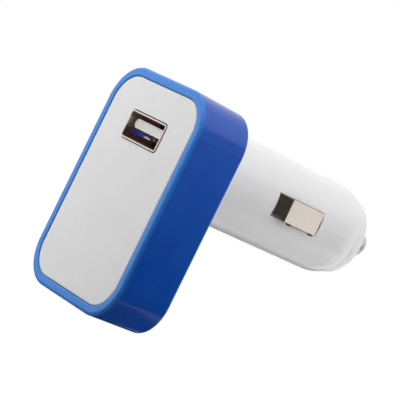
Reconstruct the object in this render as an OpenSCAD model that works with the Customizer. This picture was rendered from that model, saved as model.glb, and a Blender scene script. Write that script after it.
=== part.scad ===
// Car charger plug: an upright head with one USB port, on a round barrel for the
// dashboard socket. The barrel's axis is the Y axis and its tip points to +Y.
// The head's back face lies on the XZ plane and its front looks to -Y, with Z up.

/* [Head] */
// Width of the blue frame
head_w = 33.6; // [31:0.2:40]
// Height of the blue frame
head_h = 46.4; // [44:0.2:60]
// Depth of the head from front to back
head_d = 12; // [11:0.5:16]
// Outer corner radius of the frame, seen from the front
head_corner_r = 7.8; // [6.5:0.1:9]
// Width of the frame's rim round the plate
rim_w = 1.85; // [1.4:0.05:2.4]
// Rounding of the frame's outer edges
rim_round = 0.6; // [0.3:0.1:0.9]
// Rounding of the rim's inner edge, next to the plate
rim_inner_round = 0.25; // [0.1:0.05:0.4]
// Mould draft: how far the frame's sides draw in towards the back
frame_draft = 0.3; // [0.05:0.05:0.5]
// Width of the ledge inside the frame that both plates seat on
ledge_w = 1; // [0.6:0.1:1.6]
// Height of the barrel's axis above the head's centre
axis_rise = 10.5; // [8:0.5:11]
// Gap all round between a plate and the frame
seam = 0.08; // [0.04:0.01:0.15]
// How far the plates lie below the frame's edges
plate_sink = 0.1; // [0.05:0.05:0.3]
// Thickness of the face plate
face_t = 1.8; // [1.4:0.1:2.4]
// Rounding of the face plate's front edge
face_round = 0.25; // [0.1:0.05:0.5]
// Thickness of the back plate, moulded with the barrel
back_t = 2; // [1.5:0.1:2.6]

/* [Posts that join the plates] */
// Distance of each post from the head's sides
post_inset_x = 6.4; // [6:0.1:7.4]
// Distance of each post from the head's top and bottom
post_inset_z = 7.2; // [7:0.1:9]
// Radius of a post and of its socket
post_r = 2; // [1.7:0.1:2.2]
// Radius of the pin on a post's end
post_pin_r = 1; // [0.8:0.1:1.2]
// Height of a socket above the back plate
socket_h = 4.5; // [4:0.1:5]
// Gap between a pin and its socket
pin_gap = 0.05; // [0.03:0.01:0.1]
// Gap between a post's shoulder and its socket's mouth
shoulder_gap = 0.1; // [0.05:0.05:0.3]

/* [Barrel] */
// Radius of the barrel in its straight stretch next to the head
barrel_r = 9.55; // [9.4:0.05:9.9]
// Length of the straight stretch
straight_len = 12; // [10:0.5:14]
// Mould draft: how far the barrel draws in from there to the shoulder
barrel_draft = 0.2; // [0.05:0.05:0.3]
// Wall of the barrel in its straight stretch
barrel_wall = 1.4; // [1.3:0.05:1.5]
// Length of the barrel from the head to its nose end
barrel_len = 39.2; // [38.6:0.1:44]
// Length of the rounded shoulder at the nose end
shoulder_len = 3.4; // [2.6:0.1:4]
// Radius of the shoulder's long curve
shoulder_r = 8; // [7:0.5:12]
// Radius of the small curve at the shoulder's end
lip_r = 0.7; // [0.4:0.1:1]
// Radius of the neck that carries the nose ring
neck_r = 6.9; // [6.6:0.1:7.1]
// Length of the neck
neck_len = 1.5; // [1.2:0.1:1.6]
// Bore of the neck, in which the tip's flange runs
neck_bore_r = 4.1; // [4:0.1:4.6]
// Thickness of the end wall behind the neck
end_wall = 2; // [1.6:0.1:2.4]

/* [Nose ring] */
// Radius of the ring where it meets the barrel
ring_r = 8.3; // [8:0.05:8.4]
// Length of the ring
ring_len = 2.45; // [2.3:0.05:3]
// Radius of the ring's long rounding
ring_round = 4; // [3:0.5:6]
// Length of the ring's straight band before the rounding
ring_band = 0.3; // [0.2:0.1:0.6]
// Rounding of the ring's front edge
ring_edge = 0.35; // [0.2:0.05:0.5]
// Gap between the neck and the ring
ring_gap = 0.05; // [0.03:0.01:0.1]

/* [Tip contact] */
// Radius of the tip
tip_r = 2.45; // [2.2:0.05:2.8]
// How far the tip stands out of the nose ring
tip_reach = 5.75; // [4:0.05:6.5]
// Rounding of the tip's end
tip_round = 0.8; // [0.5:0.1:1.5]
// Radius of the flange that keeps the tip in
flange_r = 3.9; // [3.6:0.1:4]
// Thickness of the flange
flange_t = 1; // [0.8:0.1:1.2]
// Radius of the stem inside the spring
stem_r = 1.5; // [1.2:0.1:1.7]
// Length of the stem
stem_len = 2; // [1:0.5:2.5]
// Gap between the tip and the ring, all round
tip_gap = 0.1; // [0.06:0.02:0.2]

/* [Tip spring] */
// Outer radius of the spring
spring_r = 2.7; // [2.6:0.05:3]
// Thickness of the spring's wire
spring_wire = 0.5; // [0.4:0.05:0.6]
// Number of turns, the closed end turns among them
spring_turns = 6; // [5:0.5:7]
// Length of the spring at rest
spring_len = 6.6; // [6:0.1:7.5]

/* [Side contacts] */
// Width of a contact leaf
leaf_w = 4.6; // [4.2:0.1:4.8]
// Thickness of the leaf's metal
leaf_t = 0.4; // [0.3:0.05:0.45]
// Height of the leaf's middle above the barrel's axis
leaf_rise = 0.2; // [0:0.1:0.5]
// How far the leaf's peak stands out from the barrel
leaf_proud = 1.45; // [1.2:0.05:1.6]
// Distance of the window's far edge from the barrel's nose end
window_back = 10.4; // [9.9:0.1:11]
// Length of the window
window_len = 12.2; // [11.6:0.1:12.4]
// Gap between the leaf and the window's long edges
window_gap = 0.15; // [0.1:0.05:0.3]
// Distance of the peak from the window's near edge
peak_y = 2.4; // [2.2:0.1:3]
// How much narrower the leaf is in its steep part, on its lower side
leaf_step = 0.35; // [0.2:0.05:0.5]
// Radius of the leaf's bends, at the middle of its metal
leaf_bend_r = 0.45; // [0.3:0.05:0.5]
// Length of each notch in a window's lower edge
notch_len = 1.3; // [1:0.1:1.6]
// Depth of each notch in a window's lower edge
notch_depth = 0.3; // [0.2:0.05:0.4]
// Length of the tab that holds the leaf under the barrel's wall
tab_len = 2; // [1.8:0.1:2.2]
// Gap between the tab and the ground bracket's arm
tab_gap = 0.1; // [0.05:0.05:0.2]

/* [USB port] */
// Outer width of the steel shell
shell_w = 13.1; // [12.9:0.05:13.3]
// Outer height of the steel shell
shell_h = 5.7; // [5.6:0.05:5.8]
// Thickness of the shell's steel
shell_t = 0.3; // [0.25:0.05:0.35]
// Outer corner radius of the shell
shell_corner_r = 0.7; // [0.5:0.1:1]
// Length of the shell, of the short kind
shell_len = 9.8; // [9.6:0.1:9.9]
// How far the shell stands out of the plate
shell_proud = 0.2; // [0.1:0.05:0.4]
// Gap between the shell and the hole in the plate
port_gap = 0.2; // [0.15:0.05:0.3]
// Height of the port's centre above the barrel's axis
port_rise = 1.7; // [1.5:0.1:1.8]
// Width of the tongue
tongue_w = 11.1; // [10.8:0.1:11.3]
// Thickness of the tongue
tongue_t = 1.84; // [1.7:0.02:1.9]
// Gap between the shell's top wall and the tongue
tongue_gap = 0.92; // [0.8:0.02:1]
// Distance of the tongue's end from the shell's mouth
tongue_back = 1.2; // [0.8:0.1:1.6]
// Length of the insulator block behind the tongue
block_len = 2.6; // [2.4:0.1:2.8]
// Width of one contact
contact_w = 1; // [0.9:0.05:1.1]
// Thickness of one contact
contact_t = 0.25; // [0.2:0.01:0.3]
// Spacing of the outer and the inner pair of contacts from the middle
contact_x = [1, 3.5];

/* [Circuit board] */
// Thickness of the board
board_t = 1.2; // [1:0.1:1.6]
// How far the board reaches out past the port's shell on each side
board_margin = 0.65; // [0.5:0.05:0.7]
// Gap between the board's edges and the barrel's bore
board_side_gap = 0.6; // [0.4:0.1:0.8]
// Distance between the board's slim end and each side contact's tab
leaf_swing = 2; // [1.9:0.1:2.4]
// Distance from the board's step to the contact windows
step_gap = 3.1; // [2.5:0.1:4]
// Diameter of the output capacitor, which lies along the board
can_d = 6.3; // [5:0.1:6.3]
// Length of the output capacitor
can_len = 7.4; // [6:0.1:7.6]
// Diameter of the input capacitor, which stands on the board
small_can_d = 5; // [4:0.1:5]
// Height of the input capacitor
small_can_h = 5.3; // [4:0.1:5.4]
// Diameter of the inductor's drum
drum_d = 7; // [6:0.5:7]
// Height of the inductor's drum
drum_h = 5; // [4:0.1:5.2]
// Thickness of the drum's two flanges
drum_flange = 0.9; // [0.7:0.1:1]
// Free room between two pieces on the board
piece_gap = 0.3; // [0.2:0.05:0.4]

/* [Hidden] */
$fn = 96;
eps = 0.01;

// Places worked out from the sizes above, in the part's own frame
head_z = -axis_rise;
front_y = -head_d;
plate_w = head_w - 2 * (rim_w + seam);
plate_h = head_h - 2 * (rim_w + seam);
plate_corner_r = head_corner_r - rim_w - seam;
face_front_y = front_y + plate_sink;
face_back_y = face_front_y + face_t;
back_front_y = -plate_sink - back_t;
post_x = head_w / 2 - post_inset_x;
post_z = head_h / 2 - post_inset_z;
socket_top_y = back_front_y - socket_h;

bore_r = barrel_r - barrel_wall;
barrel_end_r = barrel_r - barrel_draft;
shoulder_y = barrel_len - shoulder_len;
lip_y = barrel_len - lip_r;
// The small circle touches the long one from inside, so the centres lie this far apart
lip_c_r = barrel_end_r - shoulder_r + sqrt(pow(shoulder_r - lip_r, 2) - pow(lip_y - shoulder_y, 2));
blend_y = shoulder_y + (lip_y - shoulder_y) * shoulder_r / (shoulder_r - lip_r);

ring_front_y = barrel_len + ring_len;
neck_front_y = barrel_len + neck_len;
flange_front_y = neck_front_y + ring_gap;
flange_back_y = flange_front_y - flange_t;
terminal_t = 0.5;
terminal_y = flange_back_y - spring_len - terminal_t;
terminal_r = spring_r + 0.6;

window_z = leaf_w / 2 + window_gap;
window_end_y = barrel_len - window_back;
window_y = window_end_y - window_len;
leaf_peak_x = barrel_r + leaf_proud;
leaf_peak_y = window_y + peak_y;
notch_places = [window_y + 4.6, window_end_y - 0.5 - notch_len];
tab_x = bore_r - 1.25;
tab_y = window_end_y - 0.3;

port_w = shell_w + 2 * port_gap;
port_h = shell_h + 2 * port_gap;
shell_front_y = face_front_y - shell_proud;
shell_back_y = shell_front_y + shell_len;
tongue_top_z = port_rise + shell_h / 2 - shell_t - tongue_gap;
tongue_z = tongue_top_z - tongue_t;
block_front_y = shell_back_y - block_len;
fit_gap = 0.05;

board_top_z = port_rise - shell_h / 2;
board_z = board_top_z - board_t;
board_front_y = face_back_y + 1;
board_end_y = terminal_y - fit_gap;
board_w = shell_w + 2 * board_margin;
bore_board_w = 2 * (sqrt(pow(bore_r, 2) - pow(board_z, 2)) - board_side_gap);
board_slim_w = 2 * (tab_x - leaf_swing);
board_step_y = window_y - step_gap;
// Places of the shell's legs along the board, from its front edge
leg_places = [2.2, 5.6];
leg_w = 1.5;
tail_len = 1.4;
tail_y = shell_back_y + 0.6;
bracket_t = 0.4;
bracket_w = 1.6;
bracket_x = tab_x - tab_gap;

// Turns a shape whose depth runs along Z so that it runs along +Y
module along_y() {
  rotate([-90, 0, 0]) children();
}

// Carries a flat profile round a rounded rectangle. The profile's x is the distance
// out from the corner's centre, and its y is the depth.
module carry_round(w, h, r) {
  for (k = [0:3]) {
    long = k % 2 == 0 ? h : w;
    across = k % 2 == 0 ? w : h;
    rotate([0, 0, 90 * k]) {
      translate([across / 2 - r, long / 2 - r, 0])
        rotate_extrude(angle = 90) children();
      translate([across / 2 - r, long / 2 - r, 0]) rotate([90, 0, 0])
        linear_extrude(long - 2 * r) children();
    }
  }
}

// What a rounding takes off a profile's outer corner at the origin
module round_off(r) {
  difference() {
    translate([-r, -eps]) square([r + eps, r + eps]);
    translate([-r, r]) circle(r);
  }
}

// A plate in the outline of a rounded rectangle, with its front edge rounded
module round_plate(w, h, r, t, edge) {
  carry_round(w, h, r) difference() {
    square([r, t]);
    translate([r, 0]) round_off(edge);
  }
  translate([r - w / 2, r - h / 2, 0]) cube([w - 2 * r, h - 2 * r, t]);
}

// A rounded rectangle in the plane
module round_rect(w, h, r) {
  square([w - 2 * r, h], center = true);
  square([w, h - 2 * r], center = true);
  for (sx = [-1, 1], sy = [-1, 1])
    translate([sx * (w / 2 - r), sy * (h / 2 - r)]) circle(r);
}

function unit(v) = v / norm(v);

// The points of a path whose inner corners are rounded with radius r, in n steps each
function bend_path(p, r, n = 4) = [
  p[0],
  for (i = [1:len(p) - 2])
    let (
      a = unit(p[i - 1] - p[i]),
      b = unit(p[i + 1] - p[i]),
      half = acos(a * b) / 2,
      centre = p[i] + unit(a + b) * r / sin(half),
      from = p[i] + a * r / tan(half) - centre,
      to = p[i] + b * r / tan(half) - centre,
      start = atan2(from[1], from[0]),
      turn = (atan2(to[1], to[0]) - start + 540) % 360 - 180
    )
    for (k = [0:n]) centre + r * [cos(start + turn * k / n), sin(start + turn * k / n)],
  p[len(p) - 1]
];

// The points that lie half of t to the left of a path, mitred at its corners
function path_side(p, t) = [
  for (i = [0:len(p) - 1])
    let (
      before = unit(p[max(i, 1)] - p[max(i, 1) - 1]),
      after = unit(p[min(i, len(p) - 2) + 1] - p[min(i, len(p) - 2)]),
      side = [-before[1], before[0]],
      mitre = unit(side + [-after[1], after[0]])
    )
    p[i] + mitre * t / (2 * (mitre * side))
];

// A bent strip of even thickness whose middle line runs through the points
module bent_strip(points, t, r) {
  path = bend_path(points, r);
  left = path_side(path, t);
  right = path_side(path, -t);
  polygon(concat(left, [for (i = [len(right) - 1:-1:0]) right[i]]));
}

// The four posts' places on the head
module at_posts() {
  for (sx = [-1, 1], sz = [-1, 1])
    translate([sx * post_x, 0, head_z + sz * post_z]) children();
}

module frame_profile() {
  outer = head_corner_r;
  inner = outer - rim_w;
  ledge_front = plate_sink + face_t;
  ledge_back = head_d - plate_sink - back_t;
  difference() {
    union() {
      polygon([
        [inner, 0], [outer, 0], [outer, rim_round],
        [outer - frame_draft, head_d - rim_round], [outer - frame_draft, head_d],
        [inner, head_d]
      ]);
      translate([inner - ledge_w, ledge_front])
        square([ledge_w + eps, ledge_back - ledge_front]);
    }
    translate([outer, 0]) round_off(rim_round);
    translate([outer - frame_draft, head_d]) mirror([0, 1]) round_off(rim_round);
    translate([inner, 0]) mirror([1, 0]) round_off(rim_inner_round);
  }
}

module frame_ring() {
  color("royalblue") translate([0, front_y, head_z]) along_y()
    carry_round(head_w, head_h, head_corner_r) frame_profile();
}

module face_plate() {
  collar_t = 0.7;
  collar_len = 2.4;
  pin_len = socket_h - 0.7;
  post_end_y = socket_top_y - shoulder_gap;
  color("whitesmoke") difference() {
    union() {
      translate([0, face_front_y, head_z]) along_y()
        round_plate(plate_w, plate_h, plate_corner_r, face_t, face_round);
      translate([0, face_back_y - eps, port_rise]) along_y()
        linear_extrude(collar_len + eps)
          round_rect(port_w + 2 * collar_t, port_h + 2 * collar_t, shell_corner_r + collar_t);
      at_posts() translate([0, face_back_y - eps, 0]) along_y() {
        cylinder(r = post_r, h = post_end_y - face_back_y + eps);
        cylinder(r = post_pin_r, h = post_end_y - face_back_y + pin_len);
      }
    }
    translate([0, face_front_y - 1, port_rise]) along_y()
      linear_extrude(face_t + collar_len + 2)
        round_rect(port_w, port_h, shell_corner_r + port_gap);
    // The collar is open below, where the circuit board comes up to it
    translate([-board_w / 2 - 1, face_back_y, board_z - 3])
      cube([board_w + 2, collar_len + 1, board_top_z - board_z + 3 + fit_gap]);
  }
}

// Half of the barrel's section: x is the radius and y runs along the axis
module barrel_section() {
  polygon([
    [0, 0], [barrel_r, 0], [barrel_r, straight_len], [barrel_end_r, shoulder_y], [0, shoulder_y]
  ]);
  intersection() {
    translate([barrel_end_r - shoulder_r, shoulder_y]) circle(shoulder_r);
    square([barrel_end_r, blend_y]);
  }
  intersection() {
    translate([lip_c_r, lip_y]) circle(lip_r);
    square([barrel_end_r, barrel_len]);
  }
  square([lip_c_r, barrel_len]);
  square([neck_r, neck_front_y]);
}

module plug_body() {
  rail_h = 0.9;
  rail_in = 1.3;
  color("white") difference() {
    union() {
      translate([0, back_front_y, head_z]) along_y()
        mirror([0, 0, 1]) translate([0, 0, -back_t])
          round_plate(plate_w, plate_h, plate_corner_r, back_t, face_round);
      along_y() rotate_extrude() barrel_section();
      translate([0, back_front_y, 0]) along_y() cylinder(r = barrel_r, h = eps - back_front_y);
      at_posts() translate([0, socket_top_y, 0]) along_y()
        cylinder(r = post_r, h = socket_h + eps);
    }
    translate([0, back_front_y - 1, 0]) along_y()
      cylinder(r = bore_r, h = barrel_len - end_wall - back_front_y + 1);
    translate([0, barrel_len - end_wall - 1, 0]) along_y()
      cylinder(r = neck_bore_r, h = end_wall + neck_len + 2);
    for (side = [-1, 1]) translate([side * barrel_r - 2.4, 0, leaf_rise - window_z]) {
      translate([0, window_y, 0]) cube([4.8, window_len, 2 * window_z]);
      for (y = notch_places)
        translate([0, y, -notch_depth]) cube([4.8, notch_len, notch_depth + 0.5]);
    }
    at_posts() translate([0, socket_top_y - 1, 0]) along_y()
      cylinder(r = post_pin_r + pin_gap, h = socket_h + 0.6);
  }
  // Two rails carry the board's long edges
  color("white") intersection() {
    for (side = [-1, 1])
      translate([side * (bore_board_w / 2 - rail_in + 2) - 2, 0, board_z - fit_gap - rail_h])
        cube([4, board_step_y, rail_h]);
    along_y() cylinder(r = bore_r + barrel_wall / 2, h = board_step_y);
  }
}

module nose_ring() {
  front_r = ring_r - ring_round + sqrt(pow(ring_round, 2) - pow(ring_len - ring_band, 2));
  color("white") translate([0, barrel_len, 0]) along_y() rotate_extrude() difference() {
    union() {
      translate([0, fit_gap]) square([ring_r, ring_band - fit_gap]);
      intersection() {
        translate([ring_r - ring_round, ring_band]) circle(ring_round);
        translate([0, ring_band - eps]) square([ring_r, ring_len - ring_band + eps]);
      }
      translate([0, ring_band - eps]) square([ring_r - ring_round + eps, ring_len - ring_band + eps]);
    }
    translate([front_r, ring_len]) mirror([0, 1]) round_off(ring_edge);
    translate([-1, -1]) square([tip_r + tip_gap + 1, ring_len + 2]);
    translate([-1, -1]) square([neck_r + ring_gap + 1, neck_len + 2 * ring_gap + 1]);
  }
}

module tip_contact() {
  end_y = ring_front_y + tip_reach;
  color("silver") translate([0, flange_back_y, 0]) along_y() rotate_extrude() difference() {
    union() {
      square([flange_r, flange_t]);
      square([tip_r, end_y - flange_back_y]);
      translate([0, -stem_len]) square([stem_r, stem_len + eps]);
    }
    translate([tip_r, end_y - flange_back_y]) mirror([0, 1]) round_off(tip_round);
  }
}

// Height of a coil spring's wire after a number of turns. The end turns lie closed.
function coil_height(turn, turns, pitch, wire) =
  turn < 1 ? turn * wire * 1.02
  : turn > turns - 1 ? wire * 1.02 + (turns - 2) * pitch + (turn - turns + 1) * wire * 1.02
  : wire * 1.02 + (turn - 1) * pitch;

// A coil of round wire between the planes z = 0 and z = length
module coil(r, wire, turns, length, steps = 20, sides = 8) {
  n = round(turns * steps);
  pitch = (length - wire - 2 * wire * 1.02) / (turns - 2);
  points = [
    for (i = [0:n], j = [0:sides - 1])
      let (
        turn = i / steps,
        rr = r + wire / 2 * cos(360 * j / sides),
        z = wire / 2 * (1 + sin(360 * j / sides)) + coil_height(turn, turns, pitch, wire)
      )
      [rr * cos(360 * turn), rr * sin(360 * turn), z]
  ];
  function at(i, j) = i * sides + j % sides;
  faces = concat(
    [for (i = [0:n - 1], j = [0:sides - 1]) [at(i, j), at(i, j + 1), at(i + 1, j + 1)]],
    [for (i = [0:n - 1], j = [0:sides - 1]) [at(i, j), at(i + 1, j + 1), at(i + 1, j)]],
    [[for (j = [sides - 1:-1:0]) at(0, j)], [for (j = [0:sides - 1]) at(n, j)]]
  );
  polyhedron(points, faces);
}

module tip_spring() {
  color("gainsboro") translate([0, terminal_y + terminal_t + eps, 0]) along_y()
    coil(spring_r - spring_wire / 2, spring_wire, spring_turns, spring_len - 2 * eps);
}

// The disc that the spring pushes on, with a foot soldered to the board
module spring_terminal() {
  foot_w = 3;
  foot_len = 2;
  color("silver") {
    translate([0, terminal_y, 0]) along_y() cylinder(r = terminal_r, h = terminal_t);
    translate([-foot_w / 2, terminal_y - foot_len, board_top_z])
      cube([foot_w, foot_len + eps, terminal_t]);
  }
}

// A spring leaf bent from strip: a steep ramp at the head's side, a peak, a long ramp
// to the nose, and a tab that holds it under the barrel's wall
module contact_leaf() {
  mid = leaf_t / 2;
  climb = peak_y - 0.3;
  points = [
    [leaf_peak_x - mid + 0.05 - climb, leaf_peak_y - climb],
    [leaf_peak_x - mid + 0.05, leaf_peak_y],
    [barrel_end_r - 0.1 - mid, tab_y - 0.25],
    [tab_x + mid, tab_y],
    [tab_x + mid, tab_y + tab_len]
  ];
  translate([0, 0, leaf_rise - leaf_w / 2]) difference() {
    linear_extrude(leaf_w) bent_strip(points, leaf_t, leaf_bend_r);
    translate([0, leaf_peak_y - 6.4, -1]) cube([20, 6, 1 + leaf_step]);
  }
}

module side_contact_right() {
  color("silver") contact_leaf();
}

module side_contact_left() {
  color("silver") mirror([1, 0, 0]) contact_leaf();
}

// A bracket soldered across the board, with an arm up to each side contact's tab
module ground_bracket() {
  arm_top = leaf_rise + leaf_w / 2;
  y = tab_y + tab_len - bracket_w;
  color("silver") {
    translate([-bracket_x, y, board_top_z]) cube([2 * bracket_x, bracket_w, bracket_t]);
    for (side = [-1, 1])
      translate([side * (bracket_x - bracket_t / 2) - bracket_t / 2, y, board_top_z])
        cube([bracket_t, bracket_w, arm_top - board_top_z]);
  }
}

// One sprung finger of the shell, cut on three sides and bent inwards
module shell_finger(length, dip) {
  points = [[0, 0], [length * 0.75, -dip], [length, -dip * 0.6]];
  translate([0.9, 0, 0]) rotate([0, -90, 0]) linear_extrude(1.8)
    bent_strip([for (p = points) [p[1], p[0]]], shell_t, 0.6);
}

module usb_shell() {
  finger_len = 4.8;
  finger_x = 3.2;
  finger_y = 2.2;
  window_w = 2.6;
  inner_w = shell_w - 2 * shell_t;
  inner_h = shell_h - 2 * shell_t;
  leg_len = board_t + 0.8;
  color("silver") {
    difference() {
      translate([0, shell_front_y, port_rise]) along_y() linear_extrude(shell_len)
        round_rect(shell_w, shell_h, shell_corner_r);
      translate([0, shell_front_y - 1, port_rise]) along_y() linear_extrude(shell_len + 2)
        round_rect(inner_w, inner_h, shell_corner_r - shell_t);
      for (x = [-finger_x, finger_x])
        translate([x - window_w / 2, shell_front_y + finger_y, port_rise - shell_h / 2 - 1])
          cube([window_w, finger_len + 0.6, shell_h + 2]);
    }
    for (x = [-finger_x, finger_x], up = [0, 1])
      translate([x, shell_front_y + finger_y + finger_len + 0.65, port_rise])
        mirror([0, 0, 1 - up]) translate([0, 0, shell_h / 2 - shell_t / 2])
          mirror([0, 1, 0]) shell_finger(finger_len, 0.35);
    // Two legs on each side go down through the board
    for (side = [-1, 1], y = leg_places)
      translate([side * (shell_w / 2 - shell_t / 2) - shell_t / 2, board_front_y + y - leg_w / 2,
        board_top_z - leg_len])
        cube([shell_t, leg_w, leg_len + shell_corner_r + 0.2]);
  }
}

module usb_tongue() {
  inner_w = shell_w - 2 * shell_t - 2 * fit_gap;
  inner_h = shell_h - 2 * shell_t - 2 * fit_gap;
  tongue_front_y = shell_front_y + tongue_back;
  half = tongue_t / 2;
  color("white") difference() {
    union() {
      translate([0, block_front_y, port_rise]) along_y() linear_extrude(block_len)
        round_rect(inner_w, inner_h, shell_corner_r - shell_t);
      translate([0, tongue_front_y, tongue_z + half]) along_y()
        linear_extrude(block_front_y - tongue_front_y + eps) {
          square([tongue_w - tongue_t, tongue_t], center = true);
          for (side = [-1, 1]) translate([side * (tongue_w / 2 - half), 0]) circle(half);
        }
    }
    // Slots for the contacts, right through the block
    for (x = contact_x, side = [-1, 1])
      translate([side * x - contact_w / 2 - fit_gap, block_front_y - 1, tongue_z - contact_t - fit_gap])
        cube([contact_w + 2 * fit_gap, block_len + 2, contact_t + fit_gap]);
  }
}

// One sprung contact: it bows down from the tongue, passes through the block and
// ends in a tail soldered to the board
module usb_contact(x) {
  z = tongue_z - contact_t / 2 - fit_gap / 2;
  start_y = shell_front_y + tongue_back + 1.2;
  points = [
    [start_y, z + 0.02], [start_y + 1.2, z - 0.74], [start_y + 3, z - 0.64],
    [block_front_y - 0.2, z], [tail_y, z], [tail_y, board_top_z + contact_t / 2],
    [tail_y + tail_len, board_top_z + contact_t / 2]
  ];
  color("gold") translate([x - contact_w / 2, 0, 0])
    rotate([90, 0, 90]) linear_extrude(contact_w) bent_strip(points, contact_t, 0.3);
}

module usb_contact_1() { usb_contact(-contact_x[1]); }
module usb_contact_2() { usb_contact(-contact_x[0]); }
module usb_contact_3() { usb_contact(contact_x[0]); }
module usb_contact_4() { usb_contact(contact_x[1]); }

module main_board() {
  slot_w = shell_t + 0.3;
  slot_len = leg_w + 0.4;
  color("seagreen") difference() {
    union() {
      translate([-board_w / 2, board_front_y, board_z])
        cube([board_w, back_front_y - 0.3 - board_front_y, board_t]);
      translate([-bore_board_w / 2, board_front_y, board_z])
        cube([bore_board_w, board_step_y - board_front_y, board_t]);
      translate([-board_slim_w / 2, board_front_y, board_z])
        cube([board_slim_w, board_end_y - board_front_y, board_t]);
    }
    for (side = [-1, 1], y = leg_places)
      translate([side * (shell_w / 2 - shell_t / 2) - slot_w / 2, board_front_y + y - slot_len / 2, board_z - 1])
        cube([slot_w, slot_len, board_t + 2]);
  }
}

// The tall pieces stand in one row on the board, in this order from head to nose
can_lead = 1;
can_y = tail_y + tail_len + piece_gap + can_lead;
small_can_base = small_can_d + 0.3;
small_can_y = can_y + can_len + piece_gap + small_can_base / 2;
drum_y = small_can_y + small_can_base / 2 + piece_gap + drum_d / 2;

module inductor_core() {
  color("dimgray") translate([0, drum_y, board_top_z]) {
    cylinder(d = drum_d, h = drum_flange);
    cylinder(d = drum_d * 0.45, h = drum_h);
    translate([0, 0, drum_h - drum_flange]) cylinder(d = drum_d, h = drum_flange);
  }
}

module inductor_winding() {
  turns = 6;
  gap = 0.03;
  h = (drum_h - 2 * drum_flange - 2 * gap) / turns;
  inner = drum_d * 0.225 + gap;
  outer = drum_d * 0.445;
  color("peru") translate([0, drum_y, board_top_z + drum_flange + gap]) rotate_extrude() {
    translate([inner, 0]) square([outer - inner, h * turns]);
    for (k = [0:turns - 1]) intersection() {
      translate([outer, (k + 0.5) * h]) circle(h / 2);
      translate([inner, 0]) square([drum_d, h * turns]);
    }
  }
}

// A capacitor can lying along the board, with its crimped groove at the lead end
module output_capacitor() {
  groove_r = 0.35;
  color("midnightblue") translate([0, can_y, board_top_z + can_d / 2 + fit_gap]) {
    along_y() rotate_extrude() difference() {
      square([can_d / 2, can_len]);
      translate([can_d / 2 + 0.1, 1.5]) circle(groove_r);
      translate([-1, can_len - 0.15]) square([can_d / 2 - 0.5 + 1, 1]);
    }
    for (side = [-1, 1])
      translate([side * can_d / 5, -can_lead, 0]) along_y() cylinder(d = 0.6, h = can_lead + eps);
  }
}

// A capacitor can standing on the board, on its square base
module input_capacitor() {
  base_h = 0.8;
  color("midnightblue") translate([0, small_can_y, board_top_z]) {
    translate([-small_can_base / 2, -small_can_base / 2, 0])
      cube([small_can_base, small_can_base, base_h]);
    translate([0, 0, base_h - eps]) rotate_extrude() difference() {
      square([small_can_d / 2, small_can_h - base_h]);
      translate([small_can_d / 2 + 0.1, 0.8]) circle(0.35);
    }
  }
}

// The flat pieces are on the board's underside
module converter_chip() {
  body = [3.9, 4.9, 1.4];
  lead_x = 2.9;
  stand = 0.15;
  lead_t = 0.2;
  lead_z = stand + body[2] / 2;
  lead_end_z = lead_t / 2;
  translate([0, drum_y, board_z]) mirror([0, 0, 1]) {
    color("black") translate([-body[0] / 2, -body[1] / 2, stand]) cube(body);
    color("silver") for (side = [0, 1], k = [-1.5:1:1.5])
      mirror([side, 0, 0]) translate([0, k * 1.27 + 0.2, 0]) rotate([90, 0, 0])
        linear_extrude(0.4) bent_strip([
          [body[0] / 2 - 0.1, lead_z], [body[0] / 2 + 0.35, lead_z],
          [body[0] / 2 + 0.5, lead_end_z], [lead_x, lead_end_z]
        ], lead_t, 0.12);
  }
}

module diode() {
  body = [4.2, 2.6, 2];
  pad = [0.5, 1.4, 1.2];
  translate([0, small_can_y, board_z]) mirror([0, 0, 1]) {
    color("black") translate([-body[0] / 2, -body[1] / 2, 0]) cube(body);
    color("silver") for (side = [0, 1])
      mirror([side, 0, 0]) translate([body[0] / 2 - eps, -pad[1] / 2, 0]) cube(pad);
  }
}

module chip_resistors() {
  size = [2, 1.25, 0.5];
  pitch = [3.2, 4];
  color("black") for (kx = [-1:1], ky = [0, 1])
    translate([kx * pitch[0] - size[0] / 2, can_y + ky * pitch[1] - size[1] / 2, board_z - size[2]])
      cube(size);
}

// A small lamp behind the port that shows when there is power
module indicator_led() {
  color("dodgerblue") translate([0, tail_y + tail_len / 2, board_top_z]) {
    translate([-0.4, -0.8, 0]) cube([0.8, 1.6, 0.35]);
    translate([0, 0, 0.35 - eps]) cylinder(r = 0.35, h = 0.35);
  }
}

face_plate();
frame_ring();
plug_body();
nose_ring();
tip_contact();
tip_spring();
spring_terminal();
side_contact_right();
side_contact_left();
ground_bracket();
usb_shell();
usb_tongue();
usb_contact_1();
usb_contact_2();
usb_contact_3();
usb_contact_4();
main_board();
inductor_core();
inductor_winding();
output_capacitor();
input_capacitor();
converter_chip();
diode();
chip_resistors();
indicator_led();
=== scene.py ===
# %% [markdown]
# # A USB charger plug for a car's power socket
#
# The plug has an upright head with one USB port, a blue frame round its edge, and a white
# barrel that goes into the socket of a dashboard. A sprung leaf on each side and a sprung
# tip take the power. The solid model gives every shape and place, in metres, with the
# barrel along +Y. This file dresses it: it sets a camera and soft light, gives each piece
# the finish of its real material, and swaps in side leaves with finer edges.

# %% Load the solid model
import math

import bpy
import numpy as np
from mathutils import Matrix, Vector


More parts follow.
